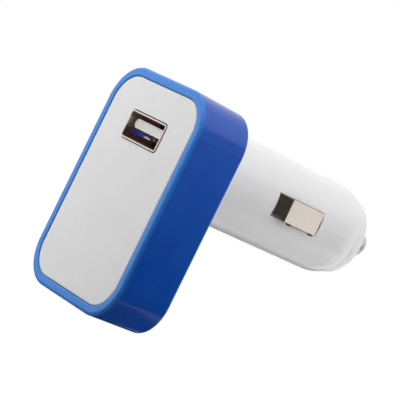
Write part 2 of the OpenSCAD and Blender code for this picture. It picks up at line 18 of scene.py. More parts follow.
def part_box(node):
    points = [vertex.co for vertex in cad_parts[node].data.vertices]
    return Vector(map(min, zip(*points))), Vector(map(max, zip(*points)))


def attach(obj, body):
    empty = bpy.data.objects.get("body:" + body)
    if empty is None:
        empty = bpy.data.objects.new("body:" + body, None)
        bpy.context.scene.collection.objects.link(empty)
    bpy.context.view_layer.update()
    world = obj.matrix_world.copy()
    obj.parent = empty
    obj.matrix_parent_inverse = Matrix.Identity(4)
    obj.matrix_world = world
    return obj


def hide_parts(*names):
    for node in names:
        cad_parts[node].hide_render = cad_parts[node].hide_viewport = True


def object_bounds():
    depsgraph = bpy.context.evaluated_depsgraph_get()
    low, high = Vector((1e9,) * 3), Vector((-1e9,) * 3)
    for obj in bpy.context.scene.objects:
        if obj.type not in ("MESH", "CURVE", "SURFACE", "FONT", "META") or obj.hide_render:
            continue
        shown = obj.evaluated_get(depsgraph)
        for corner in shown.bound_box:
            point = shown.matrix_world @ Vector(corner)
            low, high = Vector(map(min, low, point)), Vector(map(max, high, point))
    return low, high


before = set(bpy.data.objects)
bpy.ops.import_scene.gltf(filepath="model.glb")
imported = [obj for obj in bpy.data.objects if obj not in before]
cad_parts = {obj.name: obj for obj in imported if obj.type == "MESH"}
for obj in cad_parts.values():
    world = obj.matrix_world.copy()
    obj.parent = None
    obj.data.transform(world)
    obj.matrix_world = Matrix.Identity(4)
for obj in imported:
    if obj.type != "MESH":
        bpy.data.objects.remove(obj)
cad_box = [list(corner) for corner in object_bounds()]
MM = 0.001
print("pieces in the model:", len(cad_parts))

# %% [markdown]
# ## The camera
#
# A photograph's view has two parts: where the camera stands, and which way it is turned.
# Both could be found by eye, but a fit is surer: the outlines of the head, the plate and
# the barrel were matched to the picture, and these few numbers came out. The lens is a
# long one, so the picture has little perspective. The camera is also rolled sideways,
# which is why the level plug seems to hang down to the right.

# %% Camera
CAMERA_PLACE = Vector((363.671, -248.906, 3.584)) * MM
CAMERA_AZIMUTH, CAMERA_ELEVATION, CAMERA_ROLL = 54.8908, 1.186, 26.1967
FOCAL_PIXELS, PICTURE_PIXELS, SENSOR_MM = 2294.5, 400, 36.0


def camera_turn(azimuth, elevation, roll):
    """Columns are the camera's right, up and back. Back points from the object to the
    camera, right is level and square to it, and both right and up are then turned by roll."""
    a, e, r = (math.radians(v) for v in (azimuth, elevation, roll))
    back = Vector((math.sin(a) * math.cos(e), -math.cos(a) * math.cos(e), math.sin(e)))
    right = (-back).cross(Vector((0, 0, 1))).normalized()
    up = right.cross(-back)
    rolled_right = math.cos(r) * right + math.sin(r) * up
    rolled_up = math.cos(r) * up - math.sin(r) * right
    return Matrix((rolled_right, rolled_up, back)).transposed()


camera = bpy.data.objects.new("camera", bpy.data.cameras.new("camera"))
bpy.context.collection.objects.link(camera)
turn = camera_turn(CAMERA_AZIMUTH, CAMERA_ELEVATION, CAMERA_ROLL)
camera.matrix_world = Matrix.Translation(CAMERA_PLACE) @ turn.to_4x4()
camera.data.sensor_width = SENSOR_MM
camera.data.lens = FOCAL_PIXELS / PICTURE_PIXELS * SENSOR_MM
camera.data.clip_start, camera.data.clip_end = 0.01, 20
bpy.context.scene.camera = camera
print("lens", round(camera.data.lens, 1), "mm")

# %% [markdown]
# ## Helpers for shader nodes
#
# Every finish below is a small network of nodes. One function adds a node, sets its
# sockets and links it, so that each material reads as a list of what it is made of.
# Colours are written as sRGB hex values, as a colour picker shows them, and one function
# turns them into the linear values that a renderer works with. Two settings come back
# all the time, so they have a name: a Map Range node that changes smoothly, and a Mix
# node that mixes colours.

# %% Node and colour helpers
SMOOTH, COLOURS = {"interpolation_type": "SMOOTHSTEP"}, {"data_type": "RGBA"}


def linear(hex_colour):
    """sRGB to linear: c / 12.92 for dark values, else ((c + 0.055) / 1.055) ** 2.4."""
    c = np.array([int(hex_colour[i : i + 2], 16) for i in (1, 3, 5)]) / 255
    c = np.where(c <= 0.04045, c / 12.92, ((c + 0.055) / 1.055) ** 2.4)
    return (*c.tolist(), 1.0)


def add(tree, kind, sockets=None, **settings):
    """Adds a node. A socket's value is a number, a hex colour, another node's output, or
    a node, which stands for its first output in use. Where sockets share a name, the one
    in use is meant."""
    node = tree.nodes.new("ShaderNode" + kind)
    for name, value in settings.items():
        setattr(node, name, value)
    for name, value in (sockets or {}).items():
        in_use = [socket for socket in node.inputs if socket.name == name and socket.enabled]
        socket = in_use[0] if in_use else node.inputs[name]
        if isinstance(value, bpy.types.Node):
            value = next(output for output in value.outputs if output.enabled)
        if isinstance(value, bpy.types.NodeSocket):
            tree.links.new(value, socket)
        else:
            socket.default_value = linear(value) if isinstance(value, str) else value
    return node


def new_material(name):
    """A material without nodes, and its tree."""
    material = bpy.data.materials.new(name)
    material.use_nodes = True
    material.node_tree.nodes.clear()
    return material, material.node_tree


def place_in_mm(tree, scale=(1, 1, 1)):
    """Object coordinates in millimetres, so that a pattern's scale is one over its size."""
    where = add(tree, "TexCoord").outputs["Object"]
    return add(tree, "Mapping", {"Vector": where, "Scale": tuple(s / MM for s in scale)})


def grain(tree, size_mm, stretch=(1, 1, 1), detail=3.0):
    """Noise from 0 to 1 whose grains are about size_mm wide."""
    where = place_in_mm(tree, tuple(s / size_mm for s in stretch))
    noise = add(tree, "TexNoise", {"Vector": where, "Scale": 1.0, "Detail": detail})
    return noise.outputs["Fac"]


def span(low, high, start=0.3, end=0.7):
    """The two ranges of a Map Range node, which turns start into low and end into high. A
    noise is seldom below 0.3 or above 0.7."""
    return {"From Min": start, "From Max": end, "To Min": low, "To Max": high}


def dress(node_names, material):
    """Gives CAD pieces a finish by assigning to their material slots."""
    for name in node_names:
        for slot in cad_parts[name].material_slots:
            slot.material = material
    print(material.name, "on", ", ".join(node_names))


# %% [markdown]
# ## White ABS
#
# The face plate, the barrel with its back plate, and the nose ring are injection-moulded
# ABS from a polished mould, so the plastic is glossy: the edge of a lamp shows in the
# barrel as a clear line along it. At arm's length it is plain white. Close up its gloss
# varies a little, and its skin has very shallow sink and flow marks a few millimetres
# wide, with finer ones between them. A flat white would look like paper, so all of these
# go into the material.

# %% White ABS
ABS_IOR, SKIN_MARKS, SKIN_DEPTH = 1.53, 2.5, 0.004


def white_abs():
    material, tree = new_material("white_abs")
    patches = add(tree, "MapRange", {"Value": grain(tree, 7.0), **span(0, 1)}, **SMOOTH)
    shade = add(tree, "Mix", {"Factor": patches, "A": "#eeeeef", "B": "#f1f1f1"}, **COLOURS)
    gloss = add(tree, "MapRange", {"Value": grain(tree, 3.0), **span(0.11, 0.17)}, **SMOOTH)
    skin = add(tree, "Bump", {"Height": grain(tree, SKIN_MARKS), "Distance": SKIN_DEPTH * MM})
    sockets = {"Base Color": shade, "Roughness": gloss, "IOR": ABS_IOR, "Normal": skin}
    add(tree, "OutputMaterial", {"Surface": add(tree, "BsdfPrincipled", sockets)})
    return material


dress(["face_plate", "plug_body", "nose_ring"], white_abs())

# %% [markdown]
# ## Blue ABS
#
# The frame round the head is the same plastic, tinted through. Its front rim is painted a lighter
# blue than its deep side. This is painted light, standing for the light that falls on the rim's
# front and the highlight on its rounded edge. The colour follows the depth: it is lightest on the
# rim's rounded front and settles within one millimetre.

# %% Blue ABS
FRAME_FRONT_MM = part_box("frame_ring")[0].y / MM
PAINTED_RIM_LIGHT_DEPTH = 1.0


def blue_abs():
    material, tree = new_material("blue_abs")
    depth = add(tree, "SeparateXYZ", {"Vector": place_in_mm(tree)}).outputs["Y"]
    # Painted light: towards the front rim the colour is lifted to a light blue, for the light on
    # the rim's front face and its rounded edge.
    painted_rim_light_range = span(1, 0, FRAME_FRONT_MM, FRAME_FRONT_MM + PAINTED_RIM_LIGHT_DEPTH)
    painted_rim_light = add(tree, "MapRange", {"Value": depth, **painted_rim_light_range}, **SMOOTH)
    patches = add(tree, "MapRange", {"Value": grain(tree, 5.0), **span(0, 1)}, **SMOOTH)
    tint = add(tree, "Mix", {"Factor": patches, "A": "#0c4fb6", "B": "#1053bc"}, **COLOURS)
    colour = add(tree, "Mix", {"Factor": painted_rim_light, "A": tint, "B": "#388ae6"}, **COLOURS)
    gloss = add(tree, "MapRange", {"Value": grain(tree, 3.0), **span(0.13, 0.2)}, **SMOOTH)
    skin = add(tree, "Bump", {"Height": grain(tree, SKIN_MARKS), "Distance": SKIN_DEPTH * MM})
    sockets = {"Base Color": colour, "Roughness": gloss, "IOR": ABS_IOR, "Normal": skin}
    add(tree, "OutputMaterial", {"Surface": add(tree, "BsdfPrincipled", sockets)})
    return material


dress(["frame_ring"], blue_abs())

# %% [markdown]
# ## Nickel-plated steel
#
# The side leaves are stamped from spring steel strip and plated with nickel, and so are
# the two terminals on the board. Rolling leaves faint straight lines along the strip, and
# handling leaves small specks. The warm grey is nickel's own colour, and the lines are
# drawn 0.08 mm apart, about twice as coarse as real ones, so that they show. The plating
# is bright, so a bend acts as a mirror: each flat of a leaf shows one part of the room.

# %% Nickel strip
ROLLING_LINES, LINE_DEPTH, SPECKS, SPECK_RANGE = 0.08, 0.0006, 0.6, (0.73, 0.77)


def nickel_strip():
    material, tree = new_material("nickel_plated_strip")
    lines = grain(tree, ROLLING_LINES, stretch=(0.2, 0.04, 1.0), detail=2.0)
    bands = add(tree, "MapRange", {"Value": lines, **span(0, 1)}, **SMOOTH)
    clean = add(tree, "Mix", {"Factor": bands, "A": "#d3c9c0", "B": "#d7cec5"}, **COLOURS)
    dots = {"Value": grain(tree, SPECKS, detail=1.0), **span(0, 1, *SPECK_RANGE)}
    specks = add(tree, "MapRange", dots, **SMOOTH)
    colour = add(tree, "Mix", {"Factor": specks, "A": clean, "B": "#b5a99e"}, **COLOURS)
    gloss = add(tree, "MapRange", {"Value": lines, **span(0.15, 0.2)}, **SMOOTH)
    relief = add(tree, "Bump", {"Height": lines, "Distance": LINE_DEPTH * MM, "Strength": 0.3})
    sockets = {"Base Color": colour, "Metallic": 1.0, "Roughness": gloss, "Normal": relief}
    add(tree, "OutputMaterial", {"Surface": add(tree, "BsdfPrincipled", sockets)})
    return material


NICKEL = nickel_strip()
dress(["side_contact_right", "side_contact_left", "spring_terminal", "ground_bracket"], NICKEL)

# %% [markdown]
# ## Turned tip
#
# The tip is turned from a brass bar on a lathe and plated. The tool's feed leaves fine
# rings round the axis. Here they are a wave in spheres round the part's origin. The tip
# lies far out on the barrel's axis, so its side gets rings about 0.15 mm apart, which are
# coarser than real ones so that they can show, and its small end face stays plain. The
# plating is dull, and a metallic value of about a half gives that.

# %% Turned metal
WAVE_PERIOD, RING_SPACING, RING_DEPTH = math.pi / 10, 0.148, 0.002


def turned_metal():
    """A wave pattern of scale 1 repeats after pi / 10, so its scale is that over the
    wanted distance."""
    material, tree = new_material("turned_plated_brass")
    wave = {"Scale": WAVE_PERIOD / RING_SPACING, "Distortion": 0.6, "Detail": 1.0}
    shape = {"wave_type": "RINGS", "rings_direction": "SPHERICAL"}
    rings = add(tree, "TexWave", {"Vector": place_in_mm(tree), **wave}, **shape).outputs["Fac"]
    colour = add(tree, "Mix", {"Factor": rings, "A": "#c7c3c1", "B": "#d2cecb"}, **COLOURS)
    gloss = add(tree, "MapRange", {"Value": grain(tree, 0.6), **span(0.34, 0.42)}, **SMOOTH)
    relief = add(tree, "Bump", {"Height": rings, "Distance": RING_DEPTH * MM, "Strength": 0.4})
    sockets = {"Base Color": colour, "Metallic": 0.55, "Roughness": gloss, "Normal": relief}
    add(tree, "OutputMaterial", {"Surface": add(tree, "BsdfPrincipled", sockets)})
    return material


dress(["tip_contact"], turned_metal())

# %% [markdown]
# ## Spring wire
#
# The spring behind the tip is coiled from drawn steel wire and left bare, so it is a
# darker grey than the plated pieces. Marks that follow the wire would need a map of the
# coil. The spring is hidden inside the barrel, so fine noise is enough.


# %% Spring wire
def spring_wire():
    material, tree = new_material("drawn_spring_wire")
    marks = grain(tree, 0.1, stretch=(1, 0.3, 1))
    colour = add(tree, "Mix", {"Factor": marks, "A": "#8a8a8c", "B": "#a3a3a4"}, **COLOURS)
    gloss = add(tree, "MapRange", {"Value": marks, **span(0.3, 0.42)}, **SMOOTH)
    sockets = {"Base Color": colour, "Metallic": 1.0, "Roughness": gloss}
    add(tree, "OutputMaterial", {"Surface": add(tree, "BsdfPrincipled", sockets)})
    return material


dress(["tip_spring"], spring_wire())

# %% [markdown]
# ## The port's steel shell
#
# The shell is folded from thin tin-plated steel. Its cut edge and lip are bright. Inside, the
# finish is duller and the colour is painted: a dark brown for painted shade deep in the port, and
# a paler grey towards the top of the walls for a painted reflection. The colour therefore changes
# where a point lies within the shell's inner outline and behind its lip. A faint brown glow
# inside is painted bounce light. A blue lamp on the board shows that there is power, and its
# light is painted on the inner side walls as a thin blue streak just under the tongue, in the
# base colour and as a glow. Both glows are weak emissions, and the streak is cut out by the same
# kind of test on a point's place.

# %% Places in the port
SHELL_LOW, SHELL_HIGH = (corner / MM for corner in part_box("usb_shell"))
SHELL_WALL, SHELL_TALL, PORT_RISE, WALL_MARGIN = 0.3, 5.7, 1.7, 0.05
LIP_START, LIP_END = 0.02, 0.3
# Where the lamp's painted streak of light lies, in mm.
STREAK_Y, STREAK_Z = (-10.5, -6.3), (0.34, 1.02)


def all_of(tree, test, *others):
    """1 where every test gives 1, as the product of them all."""
    for other in others:
        test = add(tree, "Math", {0: test, 1: other}, operation="MULTIPLY")
    return test


def within(tree, value, low, high, soft=0.05):
    """1 where a value lies between two limits, else 0, with a soft change at each."""
    rise, fall = span(0, 1, low - soft, low + soft), span(1, 0, high - soft, high + soft)
    after = add(tree, "MapRange", {"Value": value, **rise}, **SMOOTH)
    before = add(tree, "MapRange", {"Value": value, **fall}, **SMOOTH)
    return all_of(tree, after, before)


def port_places(tree, axes):
    """Two tests on a point: inside the shell and behind its lip, and in the streak."""
    reach_x = SHELL_HIGH.x - SHELL_WALL + WALL_MARGIN
    reach_z = SHELL_TALL / 2 - SHELL_WALL + WALL_MARGIN
    in_width = within(tree, axes["X"], -reach_x, reach_x, 0.03)
    in_height = within(tree, axes["Z"], PORT_RISE - reach_z, PORT_RISE + reach_z, 0.03)
    lip = span(0, 1, SHELL_LOW.y + LIP_START, SHELL_LOW.y + LIP_END)
    behind_lip = add(tree, "MapRange", {"Value": axes["Y"], **lip}, **SMOOTH)
    inside = all_of(tree, in_width, in_height, behind_lip)
    along = within(tree, axes["Y"], *STREAK_Y, 0.5)
    across = within(tree, axes["Z"], *STREAK_Z, 0.08)
    return inside, all_of(tree, along, across, inside)


print("port from", round(SHELL_LOW.y, 2), "to", round(SHELL_HIGH.y, 2), "mm")

# %% Tin-plated steel
# Above these heights the inner walls are painted paler grey: a painted reflection.
PAINTED_REFLECTION_Z = (1.0, 1.4)


def shell_steel():
    """Bright outside and at the lip. Inside it is painted brown shade, with a paler painted
    reflection near the top and the lamp's painted streak."""
    material, tree = new_material("tin_plated_steel")
    axes = add(tree, "SeparateXYZ", {"Vector": place_in_mm(tree)}).outputs
    inside, streak = port_places(tree, axes)
    lines = grain(tree, 0.1, stretch=(0.3, 0.05, 0.3), detail=2.0)
    bright = add(tree, "Mix", {"Factor": lines, "A": "#e2d6d1", "B": "#efe5e0"}, **COLOURS)
    # Painted shade: the inner walls are dark brown, turning paler grey towards the top as a
    # painted reflection.
    lower = add(tree, "Mix", {"Factor": lines, "A": "#5e473a", "B": "#6c5345"}, **COLOURS)
    painted_reflection_share = add(tree, "MapRange", {"Value": axes["Z"], **span(0, 1, *PAINTED_REFLECTION_Z)}, **SMOOTH)
    painted_shade_and_reflection = add(tree, "Mix", {"Factor": painted_reflection_share, "A": lower, "B": "#9b8d8b"}, **COLOURS)
    # The lamp's light is painted in the streak: dark blue in the base colour, and a blue glow
    # that grows brighter deeper in the port.
    inside_painted_light = add(tree, "Mix", {"Factor": streak, "A": painted_shade_and_reflection, "B": "#16205e"}, **COLOURS)
    rearward = add(tree, "MapRange", {"Value": axes["Y"], **span(0, 1, *STREAK_Y)}, **SMOOTH)
    lamp = add(tree, "Mix", {"Factor": rearward, "A": "#151f70", "B": "#1b44bc"}, **COLOURS)
    sockets = {
        "Base Color": add(tree, "Mix", {"Factor": inside, "A": bright, "B": inside_painted_light}, **COLOURS),
        "Metallic": add(tree, "MapRange", {"Value": inside, **span(1, 0.55, 0, 1)}, **SMOOTH),
        "Roughness": add(tree, "MapRange", {"Value": lines, **span(0.24, 0.34)}, **SMOOTH),
        "Normal": add(tree, "Bump", {"Height": lines, "Distance": 0.002 * MM, "Strength": 0.4}),
    }
    # Painted light: a faint brown glow inside stands for bounced light, and the streak glows
    # blue.
    glow = {"Factor": streak, "A": "#2a1a12", "B": lamp}
    sockets["Emission Color"] = add(tree, "Mix", glow, **COLOURS)
    level = {"Value": inside, **span(0, 0.8, 0, 1)}
    sockets["Emission Strength"] = add(tree, "MapRange", level, **SMOOTH)
    add(tree, "OutputMaterial", {"Surface": add(tree, "BsdfPrincipled", sockets)})
    return material


dress(["usb_shell"], shell_steel())

# %% [markdown]
# ## The tongue and its contacts
#
# The tongue is a white insulating plastic, a little warmer and duller than the ABS. Deep in the
# port, the block behind it is darkened to brown by painted shade. Four sprung contacts of plated
# bronze strip bow down from the tongue, with marks along them from drawing. The first one's bow
# has a painted glint: a weak emission where its lowest part is, standing for light from the
# port's mouth.

# %% Insulator
BLOCK_SHADE_Y = (-6.4, -5.0)


def insulator():
    material, tree = new_material("white_insulator")
    cloudy = {"Factor": grain(tree, 1.5), "A": "#f5f2ed", "B": "#faf8f4"}
    plastic = add(tree, "Mix", cloudy, **COLOURS)
    depth = add(tree, "SeparateXYZ", {"Vector": place_in_mm(tree)}).outputs["Y"]
    # Painted shade: deep in the port the colour darkens to brown.
    painted_shade_share = add(tree, "MapRange", {"Value": depth, **span(0, 1, *BLOCK_SHADE_Y)}, **SMOOTH)
    shade = add(tree, "Mix", {"Factor": painted_shade_share, "A": plastic, "B": "#57443a"}, **COLOURS)
    gloss = add(tree, "MapRange", {"Value": grain(tree, 0.8), **span(0.42, 0.52)}, **SMOOTH)
    skin = add(tree, "Bump", {"Height": grain(tree, 0.2), "Distance": 0.001 * MM})
    sockets = {"Base Color": shade, "Roughness": gloss, "IOR": 1.5, "Normal": skin}
    add(tree, "OutputMaterial", {"Surface": add(tree, "BsdfPrincipled", sockets)})
    return material


dress(["usb_tongue"], insulator())

# %% Port contacts
FIRST_CONTACT_X, BOW_Y = (-4.2, -2.8), (-8.9, -6.3)


def port_contact_metal():
    material, tree = new_material("plated_contact_strip")
    marks = grain(tree, 0.12, stretch=(1, 0.2, 1))
    axes = add(tree, "SeparateXYZ", {"Vector": place_in_mm(tree)}).outputs
    # Painted glint: a weak grey glow on the first contact's bow, for light from the port's mouth.
    on_first = within(tree, axes["X"], *FIRST_CONTACT_X)
    on_bow = within(tree, axes["Y"], *BOW_Y, 0.3)
    painted_glint = {"Value": all_of(tree, on_first, on_bow), **span(0.02, 0.85, 0, 1)}
    plating = add(tree, "Mix", {"Factor": marks, "A": "#cfc8c0", "B": "#ddd6cd"}, **COLOURS)
    sockets = {
        "Base Color": plating,
        "Metallic": 1.0,
        "Roughness": add(tree, "MapRange", {"Value": marks, **span(0.25, 0.35)}, **SMOOTH),
        "Emission Color": "#b9b6bd",
        "Emission Strength": add(tree, "MapRange", painted_glint, **SMOOTH),
    }
    add(tree, "OutputMaterial", {"Surface": add(tree, "BsdfPrincipled", sockets)})
    return material


dress([f"usb_contact_{k}" for k in (1, 2, 3, 4)], port_contact_metal())

# %% [markdown]
# ## Pieces on the circuit board
#
# The housing hides the board, and only glimpses show past the side leaves. Each piece
# still gets its own finish: green solder mask over glass-fibre laminate, dark fired
# ferrite, enamelled copper wire, sleeved aluminium cans, black moulded resin and a clear
# blue lamp.


# %% Board finishes
def plain_finish(name, low, high, size_mm, roughness, metallic=0.0, depth_mm=0.003, glow=None):
    """A finish with one grain: its colour and its relief both follow the same noise."""
    material, tree = new_material(name)
    pattern = grain(tree, size_mm)
    patches = add(tree, "MapRange", {"Value": pattern, **span(0, 1)}, **SMOOTH)
    gloss_range = span(roughness, roughness + 0.1)
    relief = {"Height": pattern, "Distance": depth_mm * MM, "Strength": 0.5}
    sockets = {
        "Base Color": add(tree, "Mix", {"Factor": patches, "A": low, "B": high}, **COLOURS),
        "Metallic": metallic,
        "Roughness": add(tree, "MapRange", {"Value": pattern, **gloss_range}, **SMOOTH),
        "Normal": add(tree, "Bump", relief),
    }
    if glow:
        sockets.update({"Emission Color": glow, "Emission Strength": 1.0})
    add(tree, "OutputMaterial", {"Surface": add(tree, "BsdfPrincipled", sockets)})
    return material


dress(["main_board"], plain_finish("solder_mask_laminate", "#1b5436", "#22633f", 0.9, 0.35))
dress(["inductor_core"], plain_finish("fired_ferrite", "#343436", "#424245", 0.15, 0.6))
dress(["inductor_winding"], plain_finish("enamelled_copper", "#a8572c", "#c57a45", 0.3, 0.3, 1.0))
dress(
    ["output_capacitor", "input_capacitor"],
    plain_finish("sleeved_aluminium", "#1d2235", "#262c44", 1.2, 0.3),
)
dress(
    ["converter_chip", "diode", "chip_resistors"],
    plain_finish("moulded_epoxy", "#18181a", "#232326", 0.12, 0.55),
)
dress(
    ["indicator_led"],
    plain_finish("clear_blue_epoxy", "#3d7fe0", "#5b9af0", 0.5, 0.2, glow="#2a56d8"),
)

# %% [markdown]
# ## Sheet-metal strips
#
# The side leaves are bent from flat strip. A bent strip could be a box with bend
# modifiers, but a profile carried along a path keeps its thickness through each bend and
# gives it the radius of the bending tool. The path is a row of straight legs with an arc
# at each corner, and the profile is a rectangle with rounded edges, as a stamped and
# tumbled strip has.


# %% Path and profile
def bend_path(points, radius, steps=10):
    """Straight legs joined by arcs. The arc at a corner has its centre on the line that
    halves the corner's angle, radius / sin(half angle) away, and it touches both legs."""
    points = np.asarray(points, float)
    path = [points[:1]]
    for before, corner, after in zip(points[:-2], points[1:-1], points[2:]):
        a = (before - corner) / np.linalg.norm(before - corner)
        b = (after - corner) / np.linalg.norm(after - corner)
        half = math.acos(np.clip(a @ b, -1, 1)) / 2
        centre = corner + (a + b) / np.linalg.norm(a + b) * radius / math.sin(half)
        start, end = (corner + leg * radius / math.tan(half) - centre for leg in (a, b))
        first = math.atan2(start[1], start[0])
        swing = (math.atan2(end[1], end[0]) - first + math.pi) % (2 * math.pi) - math.pi
        angles = first + swing * np.linspace(0, 1, steps + 1)
        path.append(centre + radius * np.column_stack([np.cos(angles), np.sin(angles)]))
    path.append(points[-1:])
    return np.concatenate(path)


def strip_profile(thickness, width, edge, steps=4):
    """A rectangle with quarter-circle edges: each corner's arc runs round a centre that
    lies one edge radius in from both sides."""
    quarter = np.linspace(0, math.pi / 2, steps + 1)
    angles = np.concatenate([quarter + k * math.pi / 2 for k in range(4)])
    sx = np.repeat([1, -1, -1, 1], steps + 1)
    sy = np.repeat([1, 1, -1, -1], steps + 1)
    return np.column_stack(
        [
            sx * (thickness / 2 - edge) + edge * np.cos(angles),
            sy * (width / 2 - edge) + edge * np.sin(angles),
        ]
    )


def sweep_strip(path, profile):
    """Grid of points (along, around, 3): path point + mitred normal * profile's first
    coordinate, with the profile's second coordinate as the third axis. The normal at a
    corner is the mean of its neighbours' normals, lengthened by one over the cosine."""
    legs = np.diff(path, axis=0)
    legs /= np.linalg.norm(legs, axis=1, keepdims=True)
    normals = np.column_stack([-legs[:, 1], legs[:, 0]])
    before = np.vstack([normals[:1], normals])
    after = np.vstack([normals, normals[-1:]])
    mitre = before + after
    mitre /= np.linalg.norm(mitre, axis=1, keepdims=True)
    mitre /= (mitre * before).sum(1, keepdims=True)
    flat = path[:, None, :] + mitre[:, None, :] * profile[None, :, :1]
    third = np.broadcast_to(profile[None, :, 1:], flat.shape[:2] + (1,))
    return np.concatenate([flat, third], axis=2)


# %% Grid to mesh
SHARP_ANGLE = math.radians(30)


def grid_piece(name, grid_mm, material, body):
    """A closed tube from a grid: quads between the rows, and one face over each end. The
    faces are turned round if the enclosed volume comes out negative."""
    rows, around = grid_mm.shape[:2]
    index = np.arange(rows * around).reshape(rows, around)
    a, d = index[:-1], index[1:]
    quads = np.stack([a, np.roll(a, -1, 1), np.roll(d, -1, 1), d], -1).reshape(-1, 4)
    points = grid_mm.reshape(-1, 3)
    p, q, r, s = (points[quads[:, k]] for k in range(4))
    volume = (np.cross(p, q) * r + np.cross(p, r) * s).sum() / 6
    ends = [index[0][::-1], index[-1]]
    faces = [face.tolist() for face in (*quads, *ends)]
    if volume < 0:
        faces = [face[::-1] for face in faces]
    mesh = bpy.data.meshes.new(name)
    mesh.from_pydata((points * MM).tolist(), [], faces)
    mesh.shade_smooth()
    mesh.set_sharp_from_angle(angle=SHARP_ANGLE)
    mesh.materials.append(material)
    piece = bpy.data.objects.new(name, mesh)
    bpy.context.collection.objects.link(piece)
    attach(piece, body)
    print(name, "points", len(points), "volume", round(abs(volume), 1), "mm3")
    return piece


# %% [markdown]
# ## Side leaves
#
# Each leaf rises steeply out of its window, turns over a rounded peak and runs back down
# a long ramp to the window's far end, where a tab holds it under the barrel's wall. The
# strip's edges are rounded by 0.06 mm. The points are in millimetres, across the barrel
# and along it. They repeat the solid model's, but the strip is 0.12 mm wider and its far
# bend lies closer to the window, because the photograph shows very narrow gaps there.

# %% Side leaves
LEAF_THICK, LEAF_WIDE, LEAF_BEND, LEAF_MIDDLE_Z = 0.4, 4.72, 0.3, 0.2
LEAF_POINTS = [(8.75, 16.9), (10.85, 19.0), (9.22, 28.54), (7.1, 28.56), (7.1, 30.5)]
LEAF_EDGE, LEAF_STEP, LEAF_STEP_Y = 0.06, 0.35, 18.6
STEP_RUN_Y, STEP_RUN_PATH = 0.07, 0.1


def add_stations(path, extra):
    """The same line with points added at the given distances from its start."""
    along = np.concatenate([[0], np.cumsum(np.linalg.norm(np.diff(path, axis=0), axis=1))])
    wanted = np.sort(np.concatenate([along, extra]))
    return np.column_stack([np.interp(wanted, along, path[:, k]) for k in (0, 1)])


def side_leaf(name, node, body, side):
    """The strip along the leaf's path. In its steep part the outer face is one step
    narrower, so the lower edge is a slope from the outer face to the inner one. The
    change takes a tenth of a millimetre along the strip, which rises at 45 degrees there."""
    step_at = (LEAF_STEP_Y - LEAF_POINTS[0][1]) * math.sqrt(2)
    stations = step_at + np.linspace(-STEP_RUN_PATH / 2, STEP_RUN_PATH / 2, 5)
    path = add_stations(bend_path(LEAF_POINTS, LEAF_BEND), stations)
    profile = strip_profile(LEAF_THICK, LEAF_WIDE, LEAF_EDGE)
    grid = sweep_strip(path, profile)
    share = np.clip((LEAF_STEP_Y + STEP_RUN_Y / 2 - path[:, 1]) / STEP_RUN_Y, 0, 1)
    outer_low = (grid[..., 2] < 0) & (profile[None, :, 0] < 0)
    grid[..., 2] += outer_low * LEAF_STEP * share[:, None]
    grid[..., 0] *= side
    grid[..., 2] += LEAF_MIDDLE_Z
    piece = grid_piece(name, grid, NICKEL, body)
    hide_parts(node)
    solid = np.array(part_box(node)) / MM
    points = grid.reshape(-1, 3)
    off = np.abs(np.array([points.min(0), points.max(0)]) - solid).max()
    print(name, "differs from the solid's box by", round(float(off), 2), "mm")


side_leaf("leaf_right", "side_contact_right", "right_contact", 1)
side_leaf("leaf_left", "side_contact_left", "left_contact", -1)

# %% [markdown]
# ## Light and ground
#
# The photograph was taken in a light tent: white all round, with the strongest light
# from above. The white world gives the soft light from every side, and large area lamps
# shape it. Rays that go straight to the world, or reach it by a mirror-like bounce or
# through glass, see it as pure white, which keeps the background white and gives the
# metal something bright to reflect.

# %% World
WORLD_LEVEL, WHITE = 0.225, "#ffffff"
MIRROR_RAYS = ("Is Camera Ray", "Is Glossy Ray")


def seen_directly(tree, kinds):
    """1 for rays of the given kinds, else 0, as the largest of the kinds' own values."""
    rays = add(tree, "LightPath").outputs
    largest = rays[kinds[0]]
    for kind in kinds[1:]:
        largest = add(tree, "Math", {0: largest, 1: rays[kind]}, operation="MAXIMUM")
    return largest


def white_world():
    world = bpy.data.worlds.new("light_tent")
    world.use_nodes = True
    tree = world.node_tree
    tree.nodes.clear()
    seen = seen_directly(tree, (*MIRROR_RAYS, "Is Transmission Ray"))
    level = add(tree, "MapRange", {"Value": seen, **span(WORLD_LEVEL, 1, 0, 1)}, **SMOOTH)
    tent = add(tree, "Background", {"Color": WHITE, "Strength": level})
    add(tree, "OutputWorld", {"Surface": tent})
    bpy.context.scene.world = world


white_world()
print("world level for soft light:", WORLD_LEVEL)

# %% [markdown]
# ## Lamps
#
# A lamp's size sets how soft its shadows are, and its power sets its brightness. Its
# distance matters too: light falls off with the square of the distance, so the near lamp
# on the left makes the plate fade from top to bottom, as it does in the photograph. Five
# softboxes stand round the plug, four of them above it and a weak one below, which
# brightens the barrel's underside. Their powers were found by rendering each one alone
# and solving for the mix that gives the photograph's tones. They shine through the
# tent's cloth, so a mirror-like surface sees the white cloth and not the lamp.

# %% Lamps
AIM = Vector((0, 10, -6)) * MM
LAMPS = {
    "back_softbox": {"place": (150, 230, 260), "size": 200, "watts": 0.483},
    "top_softbox": {"place": (-40, -80, 250), "size": 200, "watts": 0.2314},
    "left_softbox": {"place": (-110, -160, 110), "size": 130, "watts": 0.2778},
    "right_softbox": {"place": (260, 20, 130), "size": 160, "watts": 0.2036},
    "low_softbox": {"place": (30, 75, -78), "size": 60, "watts": 0.011},
}


def softbox(name, place, size, watts):
    """A square area lamp that faces the plug. Place and size are in millimetres."""
    data = bpy.data.lights.new(name, "AREA")
    data.shape, data.size, data.energy = "SQUARE", size * MM, watts
    lamp = bpy.data.objects.new(name, data)
    bpy.context.collection.objects.link(lamp)
    lamp.location = Vector(place) * MM
    lamp.rotation_mode = "QUATERNION"
    lamp.rotation_quaternion = (AIM - lamp.location).to_track_quat("-Z", "Y")
    lamp.visible_camera = lamp.visible_glossy = False


